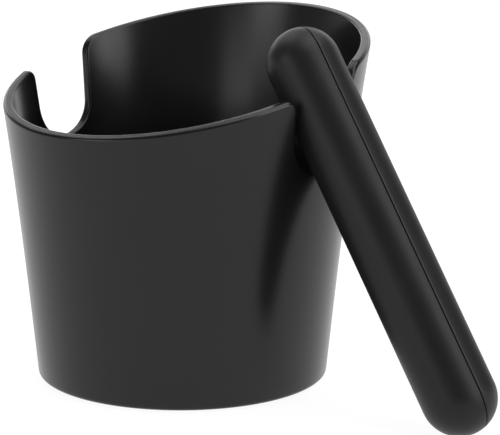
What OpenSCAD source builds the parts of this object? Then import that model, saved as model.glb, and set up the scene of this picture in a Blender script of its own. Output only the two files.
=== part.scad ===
// Espresso knock box: a flared tub with a sloping rim and two bar notches, standing on a
// non-slip pad, and a loose knock bar that leans out through one of the notches.
// Millimetres, +Z up.  The origin is the centre of the face that the box rests on.  The
// notches face +X and -X, the low side of the rim faces -Y and the high side faces +Y.

/* [Tub] */
// Diameter of the tub at the foot of its wall
base_d = 114.2; // [110:0.1:118]
// Steady growth of the wall's radius from the foot to wall_h
wall_spread = 14.8; // [13:0.1:16]
// Further growth of the radius towards the rim, which flares the wall like a trumpet
wall_flare = 3.8; // [2:0.1:5]
// Height of the rim where it crosses the tub's axis
rim_h = 122.3; // [119:0.1:124]
// Slope of the rim, down towards the front, in degrees
rim_slope = 15.2; // [12:0.1:16]
// Wall thickness
wall_t = 4; // [3.5:0.1:4.5]
// Thickness of the tub's floor over its foot rim
floor_t = 4.6; // [4:0.1:6]
// Radius of the outer edge at the foot of the wall
foot_edge_r = 2; // [1:0.1:2.5]
// Radius between the floor and the wall, inside
inner_fillet_r = 9; // [6:0.5:12]

/* [Bar notches] */
// Radius of a notch's round floor
notch_r = 14.5; // [14.4:0.1:15.2]
// Height of the lowest point of a notch
notch_floor_h = 88.6; // [87:0.1:90]
// Draft of each side of a notch, wider at the top, in degrees
notch_draft = 4; // [2:0.5:6]
// Radius of the corners where the notches meet the low side of the rim
low_corner_r = 4; // [3:0.5:6]
// Radius of the corners where the notches meet the high side of the rim
high_corner_r = 9; // [6:0.5:12]

/* [Foot pad] */
// Diameter of the non-slip pad
pad_d = 104; // [96:1:104]
// Thickness of the pad
pad_t = 2.6; // [2.2:0.1:3]
// How far the pad stands below the tub
pad_proud = 0.8; // [0.6:0.1:1]
// Play round the pad in its recess
pad_play = 0.1; // [0.05:0.05:0.3]

/* [Knock bar] */
// Diameter of the bar over its covers
bar_d = 27.8; // [27:0.1:28]
// Length of the bar over its round ends
bar_len = 162; // [160:0.5:164]
// Diameter of the rigid core rod
core_d = 18; // [14:1:20]
// Thickness of the covers past each end of the core rod
end_cover_t = 10; // [8:0.5:12]
// Distance of the seam's plane from the bar's axis
seam_offset = 3.5; // [0:0.5:5]
// Turn of the seam about the bar's axis, in degrees
seam_turn = 35; // [0:1:90]
// Width and depth of the groove that the seam leaves in the surface
seam_groove = 0.4; // [0.3:0.1:0.6]
// Depth of the ring grooves that key the covers to the core rod
key_depth = 1; // [0.5:0.1:1.5]

/* [Resting place of the bar] */
// Lean of the bar from upright, in degrees
bar_lean = 31.8; // [31:0.1:33]
// Gap between the bar and the edge of the notch that it leans over
lean_gap = 0.3; // [0.3:0.1:0.5]

/* [Hidden] */
$fn = 96;

// The wall's radius follows a formula, in straight steps up past the rim's highest point.
wall_h = 150;
wall_steps = 15;
function wall_r(z) = base_d / 2 + wall_spread * z / wall_h + wall_flare * pow(z / wall_h, 3);
wall_lean = atan(wall_spread / wall_h); // lean of the wall at its foot, from upright
inside_floor_h = pad_proud + floor_t;

// Notches, in the plane seen along X
notch_centre_h = notch_floor_h + notch_r;
beyond = 100; // further out than the tub's wall at any height
corner_bite = 0.03; // how far a rounded corner's circle crosses the edges that it blends

// Bar, in its own frame: its axis is Z and the centre of its lower round end is the origin
bar_r = bar_d / 2;
bar_span = bar_len - bar_d; // between the centres of its round ends
core_len = bar_len - 2 * end_cover_t;
core_chamfer = 1.5;
bond_t = 0.05; // bond line between the core rod and the covers
key_w = 5;
key_count = 4;
key_pitch = core_len / key_count;

// The bar's axis passes the outer edge of the notch's floor at its radius and the gap, and
// its lower end stands on the table.
bar_foot_x = wall_r(notch_floor_h)
    + (bar_r + lean_gap + (notch_floor_h - bar_r) * sin(bar_lean)) / cos(bar_lean);

// ---- Tub ----

// Half section between the axis and the wall's outside, moved in by inset, from z0 up
module wall_section(inset, z0) {
    heights = [z0, for (i = [1 : wall_steps]) i * wall_h / wall_steps];
    polygon(concat(
        [[0, z0]],
        [for (z = heights) [wall_r(z) - inset, z]],
        [[0, wall_h]]
    ));
}

// What rounds the corner between a level face at height z0 and the wall: the corner, less
// the circle that touches both
module foot_corner(inset, z0, r) {
    centre = [wall_r(z0 + r) - inset - r / cos(wall_lean), z0 + r];
    out = 2 * r;
    translate(centre)
        difference() {
            polygon([[0, 0], [0, -out], [out, -out], [out, -out * tan(wall_lean)]]);
            circle(r = r);
        }
}

module tub_outside() {
    rotate_extrude()
        difference() {
            wall_section(0, pad_proud);
            foot_corner(0, pad_proud, foot_edge_r);
        }
}

module tub_hollow() {
    rotate_extrude()
        difference() {
            wall_section(wall_t, inside_floor_h);
            foot_corner(wall_t, inside_floor_h, inner_fillet_r);
        }
    // the hollow runs on above the wall's top
    translate([0, 0, wall_h - 1])
        cylinder(r = wall_r(wall_h) - wall_t, h = 10);
}

// The point at distance d inside both the notch's drafted side and the rim, seen along X,
// where slope is the rim's slope away from the notch
function inside_corner(slope, d) =
    let (
        a = notch_r - notch_centre_h * sin(notch_draft) + d,
        b = d - rim_h * cos(slope)
    )
    [a * cos(slope) - b * sin(notch_draft), a * sin(slope) - b * cos(notch_draft)]
        / cos(notch_draft + slope);

// What rounds the corner between a notch's side and the rim to radius r: the corner, run out
// into the space that is cut anyway, less the circle that touches both edges
module rim_corner(slope, r) {
    centre = inside_corner(slope, r - corner_bite);
    out = r + 2;
    difference() {
        polygon([
            centre,
            centre - out * [cos(notch_draft), -sin(notch_draft)],
            inside_corner(slope, 0) + [-1, 3],
            centre - out * [sin(slope), -cos(slope)]
        ]);
        translate(centre) circle(r = r);
    }
}

// Half the width of a notch at height z
function notch_side_y(z) =
    (notch_r + (z - notch_centre_h) * sin(notch_draft)) / cos(notch_draft);

// A notch, open at the top, with its round floor
module notch_outline() {
    side_z = notch_centre_h - notch_r * sin(notch_draft);
    translate([0, notch_centre_h]) circle(r = notch_r);
    polygon([
        [-notch_side_y(side_z), side_z],
        [notch_side_y(side_z), side_z],
        [notch_side_y(wall_h), wall_h],
        [-notch_side_y(wall_h), wall_h]
    ]);
}

// All the space over the sloping rim
module over_rim_outline() {
    rise = beyond * tan(rim_slope);
    top = wall_h + beyond;
    polygon([[-beyond, rim_h - rise], [beyond, rim_h + rise], [beyond, top], [-beyond, top]]);
}

module tub() {
    color([0.16, 0.16, 0.165])
        difference() {
            tub_outside();
            tub_hollow();
            rotate([90, 0, 90])
                linear_extrude(2 * beyond, center = true) {
                    over_rim_outline();
                    notch_outline();
                    rim_corner(rim_slope, high_corner_r);
                    mirror([1, 0]) rim_corner(-rim_slope, low_corner_r);
                }
            // recess for the foot pad
            cylinder(d = pad_d + 2 * pad_play, h = pad_t);
        }
}

// ---- Foot pad ----

module foot_pad() {
    color([0.1, 0.1, 0.1])
        cylinder(d = pad_d, h = pad_t);
}

// ---- Knock bar ----

module capsule(r) {
    rotate_extrude()
        intersection() {
            union() {
                circle(r = r);
                translate([0, bar_span]) circle(r = r);
                translate([-r, 0]) square([2 * r, bar_span]);
            }
            translate([0, -r]) square([r, bar_span + 2 * r]);
        }
}

// Core rod, grown by grow all over, with its ring grooves
module core_rod(grow) {
    r = core_d / 2 + grow;
    z0 = (bar_span - core_len) / 2 - grow;
    length = core_len + 2 * grow;
    c = core_chamfer;
    groove_w = key_w - 2 * grow;
    rotate_extrude()
        difference() {
            translate([0, z0])
                polygon([[0, 0], [r - c, 0], [r, c], [r, length - c], [r - c, length], [0, length]]);
            for (i = [0 : key_count - 1])
                translate([r - key_depth, bar_span / 2 + (i - (key_count - 1) / 2) * key_pitch
                        - groove_w / 2])
                    square([2 * key_depth, groove_w]);
        }
}

// The groove that the seam leaves in the surface, astride the seam's plane
module seam_line() {
    translate([0, seam_offset + seam_groove / 2, 0])
        rotate([90, 0, 0])
            linear_extrude(seam_groove)
                difference() {
                    seam_outline(bar_r + 1);
                    seam_outline(sqrt(pow(bar_r, 2) - pow(seam_offset, 2)) - seam_groove);
                }
}

module seam_outline(r) {
    circle(r = r);
    translate([0, bar_span]) circle(r = r);
    translate([-r, 0]) square([2 * r, bar_span]);
}

// Both covers together, in one piece, before they are parted at the seam
module cover_blank() {
    difference() {
        capsule(bar_r);
        core_rod(bond_t);
        seam_line();
    }
}

// All on the far side of the seam's plane
module past_seam() {
    translate([-bar_d, seam_offset, -bar_d])
        cube([2 * bar_d, bar_d, bar_len + 2 * bar_d]);
}

// From the bar's own frame to where it stands, leaning
module place_bar() {
    translate([bar_foot_x, 0, bar_r])
        rotate([0, -bar_lean, 0])
            rotate([0, 0, -seam_turn])
                children();
}

module bar_core() {
    color([0.85, 0.84, 0.8])
        place_bar()
            core_rod(0);
}

module bar_cover() {
    color([0.13, 0.13, 0.135])
        place_bar()
            difference() {
                cover_blank();
                past_seam();
            }
}

module bar_cover_strip() {
    color([0.15, 0.15, 0.155])
        place_bar()
            intersection() {
                cover_blank();
                past_seam();
            }
}

tub();
foot_pad();
bar_core();
bar_cover();
bar_cover_strip();
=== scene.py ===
import math

import bmesh
import bpy
from mathutils import Matrix, Vector
from mathutils.geometry import tessellate_polygon


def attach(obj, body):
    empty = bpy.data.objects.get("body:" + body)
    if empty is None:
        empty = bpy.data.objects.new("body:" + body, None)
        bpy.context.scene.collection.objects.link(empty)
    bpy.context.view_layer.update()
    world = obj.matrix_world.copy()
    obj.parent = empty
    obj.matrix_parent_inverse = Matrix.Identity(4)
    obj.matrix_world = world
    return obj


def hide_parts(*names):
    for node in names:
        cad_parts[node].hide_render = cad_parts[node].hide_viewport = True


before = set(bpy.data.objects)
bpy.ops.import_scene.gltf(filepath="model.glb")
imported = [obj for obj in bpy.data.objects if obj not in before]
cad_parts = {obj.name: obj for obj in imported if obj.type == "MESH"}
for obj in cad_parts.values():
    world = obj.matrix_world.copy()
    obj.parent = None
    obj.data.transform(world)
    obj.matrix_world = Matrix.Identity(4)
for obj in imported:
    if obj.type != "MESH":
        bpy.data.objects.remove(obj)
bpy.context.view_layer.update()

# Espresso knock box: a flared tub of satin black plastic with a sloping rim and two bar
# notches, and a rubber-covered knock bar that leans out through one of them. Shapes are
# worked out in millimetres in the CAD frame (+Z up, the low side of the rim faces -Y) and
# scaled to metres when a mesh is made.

MM = 0.001


# ---- The tub's dimensions, as in the CAD ----

BASE_R = 57.1  # outside radius at the foot of the wall
WALL_SPREAD = 14.8  # steady growth of that radius up to WALL_H
WALL_FLARE = 3.8  # further growth up to WALL_H, most of it near the top
WALL_H = 150.0
WALL_T = 4.0
RIM_H = 122.3  # height of the rim's plane over the axis
RIM_SLOPE = math.radians(15.2)
PAD_PROUD = 0.8  # how far the pad stands below the tub
PAD_T = 2.6
PAD_R = 52.0
RECESS_R = 52.1
FLOOR_H = 5.4  # height of the floor inside
FOOT_EDGE_R = 2.0
INNER_FILLET_R = 9.0
NOTCH_R = 14.5
NOTCH_FLOOR_H = 88.6
NOTCH_CENTRE_H = NOTCH_FLOOR_H + NOTCH_R
NOTCH_DRAFT = math.radians(4.0)
LOW_CORNER_R = 4.0  # where the notches meet the low side of the rim
HIGH_CORNER_R = 9.0  # and its high side

# Roundings that the CAD leaves out
OUTER_EDGE_R = 1.5  # of the rim's and notches' outer edge
INNER_EDGE_R = 1.0  # of their inner edge
RECESS_EDGE = 0.3  # at the mouth of the pad's recess, cut straight
PAD_EDGE_R = 0.6  # of the pad's lower edge
PAD_CHAMFER = 0.3  # on the pad's upper edge
SEAM_LIP_R = 0.15  # of both lips of the bar's seam

# ---- The bar's dimensions, as in the CAD ----

BAR_R = 13.9
BAR_SPAN = 134.2  # between the centres of its round ends
BAR_LEAN = math.radians(31.8)
LEAN_GAP = 0.3  # between the bar and the notch's edge
SEAM_TURN = math.radians(35.0)  # of the seam about the bar's axis
SEAM_Y = 3.5  # distance of the seam's plane from the bar's axis
SEAM_GROOVE = 0.4  # width and depth
ROD_LEN = 142.0
BOND_T = 0.05  # between the core rod and the covers
HOLLOW_R = 9.0 + BOND_T
HOLLOW_LEN = ROD_LEN + 2 * BOND_T
HOLLOW_CHAMFER = 1.5
KEY_DEPTH = 1.0
KEY_W = 5.0 - 2 * BOND_T
KEY_COUNT = 4
KEY_PITCH = ROD_LEN / KEY_COUNT


# ---- Mesh helpers ----

MERGE_DISTANCE = 0.002  # points closer together than this become one


def new_mesh(name, points, faces):
    """A smooth-shaded mesh object from points in millimetres and faces of point indices."""
    mesh = bpy.data.meshes.new(name)
    mesh.from_pydata([Vector(p) * MM for p in points], [], faces)
    build = bmesh.new()
    build.from_mesh(mesh)
    bmesh.ops.remove_doubles(build, verts=build.verts, dist=MERGE_DISTANCE * MM)
    bmesh.ops.recalc_face_normals(build, faces=build.faces)
    for face in build.faces:
        face.smooth = True
    build.to_mesh(mesh)
    build.free()
    piece = bpy.data.objects.new(name, mesh)
    bpy.context.scene.collection.objects.link(piece)
    return piece


def grid_faces(rows, columns, closed, first=0):
    """Quads over a grid of points in row order; closed joins its last column to its first."""
    faces = []
    for i in range(rows - 1):
        for j in range(columns if closed else columns - 1):
            k = (j + 1) % columns
            a, b = first + i * columns, first + (i + 1) * columns
            faces.append((a + j, a + k, b + k, b + j))
    return faces


def steps(start, end, count):
    """count + 1 even values from start to end."""
    return [start + (end - start) * i / count for i in range(count + 1)]


def arc_points(corner, along_a, along_b, radius, count):
    """The arc that rounds a corner whose two faces run off along the unit vectors along_a and
    along_b: count + 1 points, from the first face's tangent line to the second's."""
    half = along_a.angle(along_b) / 2
    reach = radius / math.tan(half)
    centre = corner + (along_a + along_b).normalized() * (radius / math.sin(half))
    first = (corner + along_a * reach - centre) / radius
    last = (corner + along_b * reach - centre) / radius
    sweep = math.pi - 2 * half
    points = []
    for t in steps(0, 1, count):
        ray = (first * math.sin((1 - t) * sweep) + last * math.sin(t * sweep)) / math.sin(sweep)
        points.append(centre + ray * radius)
    return points


def revolve_rows(profile, angles):
    """Rows of points for a profile of (radius, height) turned through the angles."""
    return [[Vector((r * math.cos(a), r * math.sin(a), z)) for a in angles] for r, z in profile]


def flatten(rows):
    """All the points of the rows in one list."""
    return [point for row in rows for point in row]


# ---- Tub: its wall, rim and notches ----

def wall_r(z):
    """The wall's outside radius at height z."""
    h = z / WALL_H
    return BASE_R + WALL_SPREAD * h + WALL_FLARE * h ** 3


def wall_growth(z):
    """How fast the wall's radius grows with height."""
    h = z / WALL_H
    return (WALL_SPREAD + 3 * WALL_FLARE * h * h) / WALL_H


def wall_point(theta, z, inset):
    """The point on the wall's outside, moved in by inset, at angle theta from +X."""
    r = wall_r(z) - inset
    return Vector((r * math.cos(theta), r * math.sin(theta), z))


def wall_normal(theta, z):
    """The direction straight out of the wall's outside."""
    return Vector((math.cos(theta), math.sin(theta), -wall_growth(z))).normalized()


RIM_ROUNDS = 30  # of a search in which each round comes much closer


def rim_point(theta, inset):
    """Where the wall's outside, moved in by inset, meets the rim's plane."""
    z = RIM_H
    for _ in range(RIM_ROUNDS):
        z = RIM_H + (wall_r(z) - inset) * math.sin(theta) * math.tan(RIM_SLOPE)
    return theta, z


def inside_corner(slope, d):
    """The point at distance d inside both a notch's side and the rim, seen along X."""
    a = NOTCH_R - NOTCH_CENTRE_H * math.sin(NOTCH_DRAFT) + d
    b = d - RIM_H * math.cos(slope)
    whole = math.cos(NOTCH_DRAFT + slope)
    return ((a * math.cos(slope) - b * math.sin(NOTCH_DRAFT)) / whole,
            (a * math.sin(slope) - b * math.cos(NOTCH_DRAFT)) / whole)


def rim_corner(side):
    """The slope of the rim away from a notch, the radius of the corner that it makes with the
    notch's side and the corner's centre; side is 1 for the high side and -1 for the low one."""
    slope, radius = side * RIM_SLOPE, HIGH_CORNER_R if side > 0 else LOW_CORNER_R
    return slope, radius, inside_corner(slope, radius)


NOTCH_FLOOR_STEPS, NOTCH_SIDE_STEPS, NOTCH_CORNER_STEPS = 16, 9, 12


def notch_half(side):
    """Half a notch's outline from the middle of its floor up to the rim, as (y, z, normal y,
    normal z) for each of its three stretches."""
    slope, radius, (cy, cz) = rim_corner(side)
    floor = []
    for phi in steps(-math.pi / 2, -NOTCH_DRAFT, NOTCH_FLOOR_STEPS):
        c, s = math.cos(phi), math.sin(phi)
        floor.append((NOTCH_R * c, NOTCH_CENTRE_H + NOTCH_R * s, -c, -s))
    corner = []
    for phi in steps(math.pi - NOTCH_DRAFT, math.pi / 2 + slope, NOTCH_CORNER_STEPS):
        c, s = math.cos(phi), math.sin(phi)
        corner.append((cy + radius * c, cz + radius * s, c, s))
    y0, z0, ny, nz = floor[-1]
    y1, z1 = corner[0][:2]
    upright = [(y0 + (y1 - y0) * t, z0 + (z1 - z0) * t, ny, nz)
               for t in steps(0, 1, NOTCH_SIDE_STEPS)]
    return floor, upright, corner


# Below RING_Z the tub is made of plain rings, and columns join the topmost ring to the edge.
# They stand apart there by these distances from a notch's middle, round the unrolled wall.
RING_Z = 74.0
RING_R = 65.0  # radius used to unroll the wall
FLOOR_SPREAD, UPRIGHT_SPREAD, CORNER_SPREAD = 20.0, 31.0, 42.0
RIM_STEPS = 44
RIM_CROWDING = 1.25  # over 1 brings the columns closer together near a notch


def half_round():
    """Stations from the front of the rim, past the +X notch, to its back: for each the
    outer and inner (angle, height), the end face's normal and the angle of its column's foot."""
    def on_notch(y, z, ny, nz, ring):
        """A station on a notch's outline."""
        return {"outer": (math.asin(y / wall_r(z)), z),
                "inner": (math.asin(y / (wall_r(z) - WALL_T)), z),
                "normal": Vector((0, ny, nz)), "ring": ring / RING_R}

    def spread(points, start, end):
        """Pair the points with even distances from start to end."""
        last = len(points) - 1
        return [(p, start + (end - start) * i / last) for i, p in enumerate(points)]

    def notch_side(sign):
        """The stations from the middle of the notch's floor up one side."""
        floor, upright, corner = notch_half(sign)
        run = (spread(floor, 0, FLOOR_SPREAD)
               + spread(upright, FLOOR_SPREAD, UPRIGHT_SPREAD)[1:]
               + spread(corner, UPRIGHT_SPREAD, CORNER_SPREAD)[1:])
        return [on_notch(sign * y, z, sign * ny, nz, sign * ring)
                for (y, z, ny, nz), ring in run]

    def rim_run(from_station, sign):
        """The stations along the rim from that one to the rim's front or back."""
        quarter = sign * math.pi / 2
        rim_normal = Vector((0, -math.sin(RIM_SLOPE), math.cos(RIM_SLOPE)))
        o0, i0, r0 = (from_station["outer"][0], from_station["inner"][0],
                      from_station["ring"])
        run = []
        for t in steps(0, 1, RIM_STEPS)[1:]:
            u = t ** RIM_CROWDING
            run.append({"outer": rim_point(o0 + (quarter - o0) * u, 0),
                        "inner": rim_point(i0 + (quarter - i0) * u, WALL_T),
                        "normal": rim_normal, "ring": r0 + (quarter - r0) * u})
        return run

    low, high = notch_side(-1), notch_side(1)
    front, back = rim_run(low[-1], -1), rim_run(high[-1], 1)
    return front[::-1] + low[::-1] + high[1:] + back


def edge_frame(stations, i, which):
    """At station i's outer or inner edge: the point, the direction down the wall away from
    the edge, and the direction across the end face."""
    inset = 0 if which == "outer" else WALL_T
    here = wall_point(*stations[i][which], inset)
    ahead = wall_point(*stations[(i + 1) % len(stations)][which], inset)
    behind = wall_point(*stations[i - 1][which], inset)
    along = (ahead - behind).normalized()
    wall_n = wall_normal(*stations[i][which])
    face_n = stations[i]["normal"]
    down = wall_n.cross(along).normalized()
    if down.dot(face_n) > 0:
        down = -down
    across = face_n.cross(along).normalized()
    if across.dot(wall_n) > 0:
        across = -across
    if which == "inner":
        across = -across
    return here, down, across


def bent(points, edge, down, inset):
    """Points of the rounding at edge, bent so that its tangent line lies on the round wall
    and not on the wall's tangent plane."""
    moved = []
    for p in points:
        on_plane = edge + down * (p - edge).dot(down)
        off = on_plane.xy.length - (wall_r(on_plane.z) - inset)
        moved.append(p - Vector((p.x, p.y, 0)).normalized() * off)
    return moved


def corner_centres(inset):
    """The centres of the four rounded corners between the notches and the rim, on the wall."""
    centres = []
    for side in (-1, 1):
        y, z = rim_corner(side)[2]
        x = math.sqrt((wall_r(z) - inset) ** 2 - y * y)
        centres += [Vector((x, side * y, z)), Vector((-x, side * y, z))]
    return centres


COLUMN_STEPS = 16
COLUMN_RISE = 9.0  # how strongly a column is drawn to leave the topmost ring upright
COLUMN_REACH = 1.2  # and to meet the edge squarely
CORNER_SHARE = 0.6  # the most that the second may be, as a share of the way to a corner's centre
LAST_STEP = 0.985  # one more row, just short of the edge


def column_rows(ring, edge, down, inset, corners):
    """Points on the wall from the ring at angle ring up to the point edge, which the column
    reaches against the direction down. Close to a corner it turns off sooner, so that no two
    columns cross."""
    theta = math.atan2(edge.y, edge.x)
    if theta - ring > math.pi:
        theta -= 2 * math.pi
    if ring - theta > math.pi:
        theta += 2 * math.pi
    tangent = Vector((-math.sin(theta), math.cos(theta), 0))
    p0, p3 = Vector((ring * RING_R, RING_Z)), Vector((theta * RING_R, edge.z))
    p1 = p0 + Vector((0, COLUMN_RISE))
    near = min((edge - centre).length for centre in corners)
    reach = min(COLUMN_REACH, near * CORNER_SHARE)
    p2 = p3 + Vector((down.dot(tangent), down.z)) * reach
    rows = []
    for t in sorted(steps(0, 1, COLUMN_STEPS) + [LAST_STEP]):
        s = 1 - t
        p = p0 * s ** 3 + p1 * 3 * s * s * t + p2 * 3 * s * t * t + p3 * t ** 3
        rows.append(wall_point(p.x / RING_R, p.y, inset))
    return rows


def foot_arc(inset, z0, radius, count):
    """The rounding between a level face at z0 and the wall, from the wall down to the face."""
    lean = math.atan(WALL_SPREAD / WALL_H)
    cr = wall_r(z0 + radius) - inset - radius / math.cos(lean)
    cz = z0 + radius
    return [(cr + radius * math.cos(a), cz + radius * math.sin(a))
            for a in steps(-lean, -math.pi / 2, count)]


OUTER_STEPS, INNER_STEPS = 9, 8  # of the roundings of the rim's and notches' edges
FOOT_STEPS, FILLET_STEPS = 6, 12
OUTSIDE_RINGS, INSIDE_RINGS = 16, 14
FACE_SHARES = (0.08, 0.5, 0.92)  # points across the flat face between the two roundings


def make_tub():
    """The tub as one closed mesh: rings under and outside it, columns up to the rim and down
    again inside, and rings inside it."""
    half = half_round()
    mirrored = [{"outer": (math.pi - s["outer"][0], s["outer"][1]),
                 "inner": (math.pi - s["inner"][0], s["inner"][1]),
                 "normal": s["normal"], "ring": math.pi - s["ring"]}
                for s in half[-2:0:-1]]
    stations = half + mirrored
    angles = [s["ring"] for s in stations]

    outer_arc = foot_arc(0, PAD_PROUD, FOOT_EDGE_R, FOOT_STEPS)
    # Here and inside, a ring close to each edge keeps the shading of the flat face flat.
    roof_rings = (0, 6, 20, 36, 48, RECESS_R - 0.4, RECESS_R)
    under = [(r, PAD_T) for r in roof_rings]
    under += [(RECESS_R, PAD_PROUD + RECESS_EDGE), (RECESS_R + RECESS_EDGE, PAD_PROUD),
              (outer_arc[-1][0] - 0.6, PAD_PROUD)]
    lower_z = steps(outer_arc[0][1], RING_Z, OUTSIDE_RINGS)[1:-1]
    outside = outer_arc[::-1] + [(wall_r(z), z) for z in lower_z]

    inner_arc = foot_arc(WALL_T, FLOOR_H, INNER_FILLET_R, FILLET_STEPS)
    inner_z = steps(inner_arc[0][1], RING_Z, INSIDE_RINGS)[1:-1]
    inside = [(wall_r(z) - WALL_T, z) for z in inner_z[::-1]] + inner_arc
    floor_rings = (inner_arc[-1][0] - 1, 30, 14, 5, 0)
    inside += [(r, FLOOR_H) for r in floor_rings]

    rows = revolve_rows(under + outside, angles)
    outer_corners, inner_corners = corner_centres(0), corner_centres(WALL_T)
    upper = []
    for i, station in enumerate(stations):
        outer, down_o, across_o = edge_frame(stations, i, "outer")
        inner, down_i, across_i = edge_frame(stations, i, "inner")
        outer_round = bent(arc_points(outer, down_o, across_o, OUTER_EDGE_R, OUTER_STEPS),
                           outer, down_o, 0)
        inner_round = bent(arc_points(inner, across_i, down_i, INNER_EDGE_R, INNER_STEPS),
                           inner, down_i, WALL_T)
        face = [outer_round[-1].lerp(inner_round[0], t) for t in FACE_SHARES]
        climb = column_rows(station["ring"], outer_round[0], down_o, 0, outer_corners)
        descend = column_rows(station["ring"], inner_round[-1], down_i, WALL_T,
                              inner_corners)[::-1]
        upper.append(climb[:-1] + outer_round + face + inner_round + descend[1:])
    rows += [[column[k] for column in upper] for k in range(len(upper[0]))]
    rows += revolve_rows(inside, angles)
    return new_mesh("tub_shell", flatten(rows), grid_faces(len(rows), len(stations), True))


# ---- Foot pad ----

PAD_COLUMNS, PAD_EDGE_STEPS = 144, 6


def make_pad():
    """The foot pad, a plain disc with its lower edge rounded."""
    level = (0, 10, 30)  # radii of rings on both flat sides, with one more close to each edge
    arc_r = PAD_R - PAD_EDGE_R
    profile = [(r, 0) for r in (*level, arc_r - 0.8, arc_r)]
    profile += [(arc_r + PAD_EDGE_R * math.sin(a), PAD_EDGE_R * (1 - math.cos(a)))
                for a in steps(0, math.pi / 2, PAD_EDGE_STEPS)[1:]]
    profile += [(PAD_R, PAD_T - PAD_CHAMFER), (PAD_R - PAD_CHAMFER, PAD_T)]
    profile += [(r, PAD_T) for r in (PAD_R - 1.2, *reversed(level))]
    angles = steps(0, 2 * math.pi, PAD_COLUMNS)[:-1]
    rows = revolve_rows(profile, angles)
    return new_mesh("foot_pad_disc", flatten(rows), grid_faces(len(rows), len(angles), True))


# ---- Knock bar ----

# In the bar's own frame its axis is Z, the centre of its lower round end is the origin and the
# seam's plane is square to Y.
STRAIGHT_STEPS, END_STEPS = 30, 28  # along the bar and round each end
LIP_STEPS, RIB_STEPS = 4, 28  # over the seam's lip and round the hollow


def stadium(radius, y):
    """A loop of points round the bar at distance y from its axis."""
    loop = [(radius, z) for z in steps(0, BAR_SPAN, STRAIGHT_STEPS)[:-1]]
    loop += [(radius * math.cos(a), BAR_SPAN + radius * math.sin(a))
             for a in steps(0, math.pi, END_STEPS)[:-1]]
    loop += [(-radius, z) for z in steps(BAR_SPAN, 0, STRAIGHT_STEPS)[:-1]]
    loop += [(radius * math.cos(a), radius * math.sin(a))
             for a in steps(math.pi, 2 * math.pi, END_STEPS)[:-1]]
    return [Vector((x, y, z)) for x, z in loop]


def core_hollow():
    """The hollow round the core rod as (radius, height along the bar), end to end."""
    z0 = (BAR_SPAN - HOLLOW_LEN) / 2
    z1 = z0 + HOLLOW_LEN
    profile = [(HOLLOW_R - HOLLOW_CHAMFER, z0), (HOLLOW_R, z0 + HOLLOW_CHAMFER)]
    for i in range(KEY_COUNT):
        middle = BAR_SPAN / 2 + (i - (KEY_COUNT - 1) / 2) * KEY_PITCH
        low, high = middle - KEY_W / 2, middle + KEY_W / 2
        profile += [(HOLLOW_R, low), (HOLLOW_R - KEY_DEPTH, low),
                    (HOLLOW_R - KEY_DEPTH, high), (HOLLOW_R, high)]
    return profile + [(HOLLOW_R, z1 - HOLLOW_CHAMFER), (HOLLOW_R - HOLLOW_CHAMFER, z1)]


def make_cover(name, side, count):
    """The cover on one side of the seam's plane: side is 1 for the strip past it and -1 for
    the rest. Its outside is a stack of loops from the far line of the bar to the seam."""
    lip = SEAM_GROOVE / 2
    edge_y = SEAM_Y + side * (lip + SEAM_LIP_R)
    seam_alpha = math.asin(edge_y / BAR_R)
    loops = [stadium(BAR_R * math.cos(a), BAR_R * math.sin(a))
             for a in steps(side * math.pi / 2, seam_alpha, count)]
    edge_r = BAR_R * math.cos(seam_alpha)
    for a in steps(0, math.pi / 2, LIP_STEPS)[1:]:
        loops.append(stadium(edge_r - SEAM_LIP_R * (1 - math.cos(a)),
                             edge_y - side * SEAM_LIP_R * math.sin(a)))
    bottom_r = math.sqrt(BAR_R ** 2 - SEAM_Y ** 2) - SEAM_GROOVE
    loops += [stadium(bottom_r, SEAM_Y + side * lip), stadium(bottom_r, SEAM_Y)]
    points = flatten(loops)
    around = len(loops[0])
    faces = grid_faces(len(loops), around, True)
    seam_ids = list(range(len(points) - around, len(points)))

    profile = core_hollow()
    ribs = []
    for r, z in profile:
        start = math.asin(SEAM_Y / r)
        end = math.pi - start if side > 0 else -math.pi - start
        ribs.append([Vector((r * math.cos(a), r * math.sin(a), z))
                     for a in steps(start, end, RIB_STEPS)])
    across = len(ribs[0])
    first = len(points)
    points += flatten(ribs)
    faces += grid_faces(len(ribs), across, False, first)
    ends = [first, first + (len(ribs) - 1) * across]
    faces += [tuple(range(e, e + across)) for e in ends]
    hole_ids = [first + i * across for i in range(len(ribs))]
    hole_ids += [first + i * across + across - 1 for i in reversed(range(len(ribs)))]
    ids = seam_ids + hole_ids
    flat = [[Vector((points[i].x, points[i].z, 0)) for i in loop]
            for loop in (seam_ids, hole_ids)]
    faces += [tuple(ids[k] for k in triangle) for triangle in tessellate_polygon(flat)]

    piece = new_mesh(name, points, faces)
    piece.data.transform(bar_place())
    return piece


def bar_place():
    """From the bar's own frame, in metres, to where it stands."""
    rise = NOTCH_FLOOR_H - BAR_R
    foot_x = wall_r(NOTCH_FLOOR_H) + (
        BAR_R + LEAN_GAP + rise * math.sin(BAR_LEAN)) / math.cos(BAR_LEAN)
    return (Matrix.Translation(Vector((foot_x, 0, BAR_R)) * MM)
            @ Matrix.Rotation(-BAR_LEAN, 4, "Y") @ Matrix.Rotation(-SEAM_TURN, 4, "Z"))


# ---- Materials ----

NOISE_LOW, NOISE_HIGH = 0.3, 0.7  # most of a noise's values lie between these
MIX_FACTOR, MIX_A, MIX_B, MIX_RESULT = 0, 6, 7, 2  # a Mix node's sockets for colours


def set_range(node, low, high, to_low, to_high):
    """Fill in the four limits of a Map Range node."""
    for key, number in (("From Min", low), ("From Max", high),
                        ("To Min", to_low), ("To Max", to_high)):
        node.inputs[key].default_value = number


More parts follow.
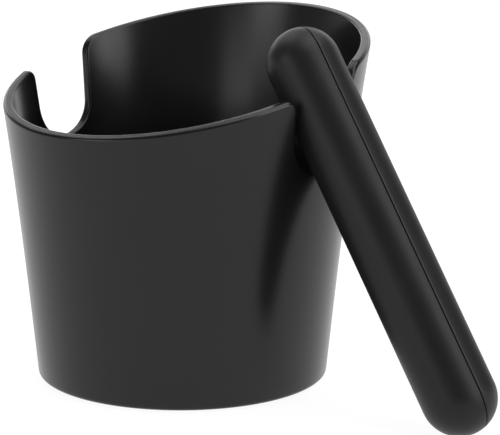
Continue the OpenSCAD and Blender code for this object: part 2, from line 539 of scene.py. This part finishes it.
class Nodes:
    """A material's node tree, with the few steps that these materials are made of."""

    def __init__(self, name):
        self.material = bpy.data.materials.new(name)
        self.material.use_nodes = True
        self.tree = self.material.node_tree
        self.shader = self.tree.nodes["Principled BSDF"]
        self.place = self.add("ShaderNodeTexCoord").outputs["Object"]

    def add(self, kind, **values):
        """A new node with the given settings."""
        node = self.tree.nodes.new(kind)
        for key, value in values.items():
            setattr(node, key, value)
        return node

    def link(self, source, target):
        self.tree.links.new(source, target)

    def noise(self, scale, detail, rough, stretch=None):
        """Noise over the object, finer with a greater scale."""
        place = self.place
        if stretch:
            mapping = self.add("ShaderNodeMapping")
            mapping.inputs["Scale"].default_value = stretch
            self.link(place, mapping.inputs["Vector"])
            place = mapping.outputs["Vector"]
        node = self.add("ShaderNodeTexNoise")
        node.inputs["Scale"].default_value = scale
        node.inputs["Detail"].default_value = detail
        node.inputs["Roughness"].default_value = rough
        self.link(place, node.inputs["Vector"])
        return node.outputs["Fac"]

    def remap(self, value, low, high, to_low, to_high):
        """The value carried from the range low to high over to to_low to to_high."""
        node = self.add("ShaderNodeMapRange")
        set_range(node, low, high, to_low, to_high)
        self.link(value, node.inputs["Value"])
        return node.outputs["Result"]

    def spread(self, noise, to_low, to_high):
        """A noise carried from its usual range over to to_low to to_high."""
        return self.remap(noise, NOISE_LOW, NOISE_HIGH, to_low, to_high)

    def math(self, operation, a, b):
        """A sum or product of two values, each a number or another node's output."""
        node = self.add("ShaderNodeMath", operation=operation)
        for socket, value in zip(node.inputs, (a, b)):
            if isinstance(value, (int, float)):
                socket.default_value = value
            else:
                self.link(value, socket)
        return node.outputs["Value"]

    def mix(self, factor, a, b):
        """The colour between a and b, each a colour or another node's output."""
        node = self.add("ShaderNodeMix", data_type="RGBA")
        self.link(factor, node.inputs[MIX_FACTOR])
        for socket, value in ((node.inputs[MIX_A], a), (node.inputs[MIX_B], b)):
            if isinstance(value, tuple):
                socket.default_value = (*value, 1)
            else:
                self.link(value, socket)
        return node.outputs[MIX_RESULT]

    def bump(self, height, depth_mm, below=None):
        """Relief of that depth, on top of the relief below if there is one."""
        node = self.add("ShaderNodeBump")
        node.inputs["Distance"].default_value = depth_mm * MM
        node.inputs["Strength"].default_value = 1
        self.link(height, node.inputs["Height"])
        if below is not None:
            self.link(below, node.inputs["Normal"])
        return node.outputs["Normal"]

    def finish(self, colour, roughness, normal, **constants):
        """Join everything to the shader and return the material."""
        self.link(colour, self.shader.inputs["Base Color"])
        self.link(roughness, self.shader.inputs["Roughness"])
        self.link(normal, self.shader.inputs["Normal"])
        for key, value in constants.items():
            self.shader.inputs[key.replace("_", " ")].default_value = value
        return self.material


def grey(value):
    """A neutral colour."""
    return (value, value, value)


def tub_plastic():
    """Satin black moulded plastic with a fine even grain and slightly cloudy gloss."""
    n = Nodes("matte_plastic_black")
    cloud = n.noise(22, 4, 0.6)
    grain = n.noise(2600, 2, 0.5)
    pores = n.noise(900, 3, 0.6)
    colour = n.mix(n.spread(cloud, 0, 1), grey(0.0034), grey(0.0046))
    rough = n.remap(n.math("ADD", cloud, n.math("MULTIPLY", grain, 0.35)),
                    0.4, 1.0, 0.22, 0.28)
    normal = n.bump(pores, 0.010, below=n.bump(grain, 0.006))
    return n.finish(colour, rough, normal, IOR=1.4)


def bar_rubber(name, tone):
    """Black moulded rubber, tone dark, with a finer grain, a soft sheen and a few pale specks."""
    n = Nodes(name)
    cloud = n.noise(30, 4, 0.6)
    grain = n.noise(3400, 2, 0.55)
    specks = n.remap(n.noise(420, 1, 0.4), 0.74, 0.80, 0, 1)
    worn = n.mix(n.spread(cloud, 0, 1), grey(tone), grey(tone * 1.35))
    colour = n.mix(n.math("MULTIPLY", specks, 0.5), worn, grey(tone * 4))
    rough = n.remap(n.math("ADD", cloud, n.math("MULTIPLY", grain, 0.4)),
                    0.4, 1.1, 0.40, 0.48)
    normal = n.bump(grain, 0.008)
    return n.finish(colour, rough, normal, IOR=1.36)


def pad_rubber():
    """Soft dull rubber with a coarse tooth that grips the table."""
    n = Nodes("rubber_black")
    cloud = n.noise(40, 3, 0.5)
    tooth = n.noise(1400, 3, 0.6)
    colour = n.mix(n.spread(cloud, 0, 1), grey(0.009), grey(0.014))
    rough = n.spread(tooth, 0.7, 0.85)
    return n.finish(colour, rough, n.bump(tooth, 0.03), IOR=1.5)


def core_nylon():
    """Natural nylon: off-white, with fine upright lines in its gloss."""
    n = Nodes("nylon_natural")
    cloud = n.noise(60, 4, 0.6)
    lines = n.noise(900, 2, 0.5, stretch=(1, 1, 0.1))
    colour = n.mix(n.spread(cloud, 0, 1), (0.66, 0.63, 0.54), (0.72, 0.70, 0.62))
    rough = n.spread(lines, 0.4, 0.52)
    return n.finish(colour, rough, n.bump(lines, 0.01), IOR=1.53)


GLOW_NEAR, GLOW_FAR = 0.15, 0.8  # from the object, in metres


def floor_paper():
    """A white shooting table, very slightly uneven, that glows so that the object's shadow
    hardly shows. The glow is a little weaker near the object, which gives light back there."""
    n = Nodes("studio_white")
    cloud = n.noise(3, 3, 0.5)
    colour = n.mix(cloud, grey(0.07), grey(0.1))
    rough = n.spread(cloud, 0.75, 0.85)
    distance = n.add("ShaderNodeVectorMath", operation="LENGTH")
    n.link(n.place, distance.inputs[0])
    glow = n.remap(distance.outputs["Value"], GLOW_NEAR, GLOW_FAR, 0.935, 1.0)
    n.link(glow, n.shader.inputs["Emission Strength"])
    return n.finish(colour, rough, n.bump(n.noise(600, 2, 0.5), 0.01), IOR=1.4,
                    Emission_Color=(1, 1, 1, 1))


# ---- The object ----

tub = make_tub()
tub.data.materials.append(tub_plastic())
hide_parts("tub")
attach(tub, "box")

pad = make_pad()
pad.data.materials.append(pad_rubber())
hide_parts("foot_pad")
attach(pad, "box")

cover = make_cover("bar_cover_main", -1, 30)
cover.data.materials.append(bar_rubber("rubber_bar", 0.0042))
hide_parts("bar_cover")
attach(cover, "bar")

strip = make_cover("bar_cover_side", 1, 22)
strip.data.materials.append(bar_rubber("rubber_bar_side", 0.0056))
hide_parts("bar_cover_strip")
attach(strip, "bar")

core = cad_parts["bar_core"]
core.data.materials.clear()
core.data.materials.append(core_nylon())


# ---- Studio ----

STUDIO_CENTRE = Vector((0, 0, 0.07))  # what the lights point at, in metres
STUDIO_R = 1.3  # distance of the lights from it
STUDIO_FLOOR_REACH = 3000  # how far the floor runs out each way
STUDIO_FLOOR_STEPS = 2


def make_floor():
    """The table that the object stands on."""
    lines = steps(-STUDIO_FLOOR_REACH, STUDIO_FLOOR_REACH, STUDIO_FLOOR_STEPS)
    points = [(x, y, 0) for y in lines for x in lines]
    floor = new_mesh("floor", points, grid_faces(len(lines), len(lines), False))
    floor.data.materials.append(floor_paper())


def soft_light(name, azimuth, elevation, width, height, radiance):
    """A rectangular soft box seen from the studio's centre at that azimuth from +X and that
    elevation in degrees, that wide and high in metres and as bright as radiance everywhere."""
    a, e = math.radians(azimuth), math.radians(elevation)
    away = Vector((math.cos(a) * math.cos(e), math.sin(a) * math.cos(e), math.sin(e)))
    data = bpy.data.lights.new(name, "AREA")
    data.shape = "RECTANGLE"
    data.size, data.size_y = width, height
    data.energy = radiance * math.pi * width * height
    light = bpy.data.objects.new(name, data)
    light.location = STUDIO_CENTRE + away * STUDIO_R
    light.rotation_mode = "QUATERNION"
    light.rotation_quaternion = (-away).to_track_quat("-Z", "Y")
    light.visible_camera = False
    bpy.context.scene.collection.objects.link(light)


HORIZON_LOW, HORIZON_HIGH = 0.03, 0.1  # heights in the backdrop, as the sine of the elevation


def make_world(low, high):
    """A plain backdrop: of strength low along the horizon and high further up."""
    world = bpy.data.worlds.new("studio")
    world.use_nodes = True
    tree = world.node_tree
    place = tree.nodes.new("ShaderNodeTexCoord")
    split = tree.nodes.new("ShaderNodeSeparateXYZ")
    fade = tree.nodes.new("ShaderNodeMapRange")
    fade.interpolation_type = "SMOOTHSTEP"
    set_range(fade, HORIZON_LOW, HORIZON_HIGH, low, high)
    tree.links.new(place.outputs["Generated"], split.inputs["Vector"])
    tree.links.new(split.outputs["Z"], fade.inputs["Value"])
    tree.links.new(fade.outputs["Result"], tree.nodes["Background"].inputs["Strength"])
    tree.nodes["Background"].inputs["Color"].default_value = (1, 1, 1, 1)
    bpy.context.scene.world = world


CAMERA_AZIMUTH = math.radians(40.369)  # from -Y towards +X, seen from the origin
CAMERA_ELEVATION = math.radians(16.314)
CAMERA_DISTANCE = 776.4
CAMERA_TURN = math.radians(2.043)  # how far it looks past the origin, towards the bar
CAMERA_RAISE = math.radians(4.525)  # and above it
CAMERA_ROLL = math.radians(0.289)
FOCAL_LENGTH, FILM_WIDTH = 139.1, 36


def towards(azimuth, elevation):
    """The unit vector from the origin to that azimuth, from -Y towards +X, and elevation."""
    return Vector((math.sin(azimuth) * math.cos(elevation),
                   -math.cos(azimuth) * math.cos(elevation), math.sin(elevation)))


def make_camera():
    """A long lens on the low side of the rim, looking a little down between the tub's front
    and the bar."""
    place = towards(CAMERA_AZIMUTH, CAMERA_ELEVATION) * CAMERA_DISTANCE
    azimuth = CAMERA_AZIMUTH - CAMERA_TURN
    back = towards(azimuth, CAMERA_ELEVATION - CAMERA_RAISE)
    right = Vector((math.cos(azimuth), math.sin(azimuth), 0))
    up = back.cross(right)
    tilt = Matrix.Rotation(CAMERA_ROLL, 3, back)
    right, up = tilt @ right, tilt @ up
    data = bpy.data.cameras.new("camera")
    data.lens, data.sensor_width = FOCAL_LENGTH, FILM_WIDTH
    data.clip_start, data.clip_end = 0.01, 20
    camera = bpy.data.objects.new("camera", data)
    camera.matrix_world = (Matrix.Translation(place * MM)
                           @ Matrix((right, up, back)).transposed().to_4x4())
    bpy.context.scene.collection.objects.link(camera)
    bpy.context.scene.camera = camera


make_floor()
make_world(1.0, 0.18)
make_camera()
soft_light("right_main", 1, 28, 0.56, 1.0, 3.6)
soft_light("right_low", 20, 8, 0.8, 0.26, 1.6)
soft_light("overhead", 20, 72, 1.3, 0.9, 2.7)
soft_light("overhead_left", 180, 66, 0.9, 0.6, 1.7)
soft_light("left_high", 168, 44, 0.8, 0.4, 1.3)
soft_light("front_left", 248, 20, 0.5, 0.36, 3.6)
soft_light("front", 270, 7, 0.5, 0.28, 1.9)
soft_light("back_low", 100, 20, 0.8, 0.36, 1.5)
soft_light("left_back", 147, 19, 0.95, 0.38, 1.8)
soft_light("back_high", 115, 39, 0.75, 0.45, 1.4)
bpy.context.scene.view_settings.view_transform = "Standard"
